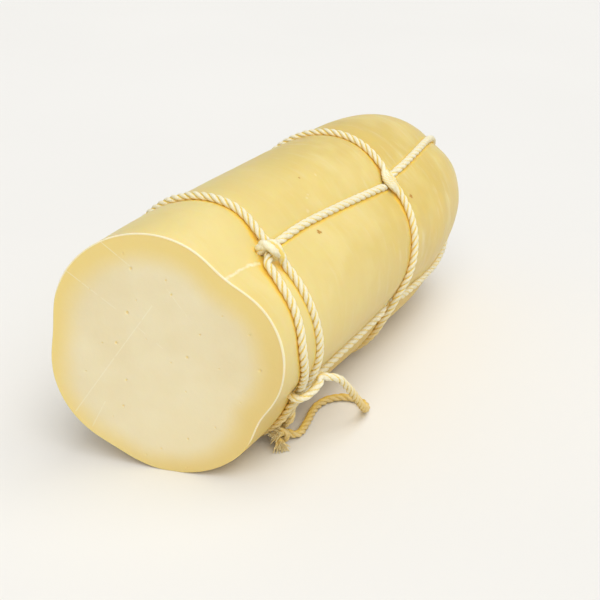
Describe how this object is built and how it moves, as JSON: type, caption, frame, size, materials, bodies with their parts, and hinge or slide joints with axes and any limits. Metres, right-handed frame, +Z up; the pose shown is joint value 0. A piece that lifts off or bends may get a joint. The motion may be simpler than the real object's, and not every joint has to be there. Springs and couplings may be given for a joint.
{
  "type": "provolone cheese",
  "caption": "Half log of cheese cut straight across, rounded at the far end, held in a tied string net; rests on its belly.",
  "frame": {"origin": "centre of the bounding box of the log and its held cords, at the bottom, where the belly lies on the surface", "axes": "+Y along the log from the cut face to the rounded rear end, +Z up, +X to the right as one looks at the cut face"},
  "size_m": [0.1269, 0.3089, 0.1311],
  "materials": {
    "rind": "waxy yellow rind with a soft sheen; the cut face is paler, smooth paste",
    "string": "cream twisted kitchen string, matt, with frayed ends"
  },
  "bodies": {
    "root": {"cheese": "rind", "hoop_1": "string", "hoop_2": "string", "long_cord_ac": "string", "long_cord_bd": "string", "loose_tail": "string", "end_knot": "string"}
  },
  "joints": []
}
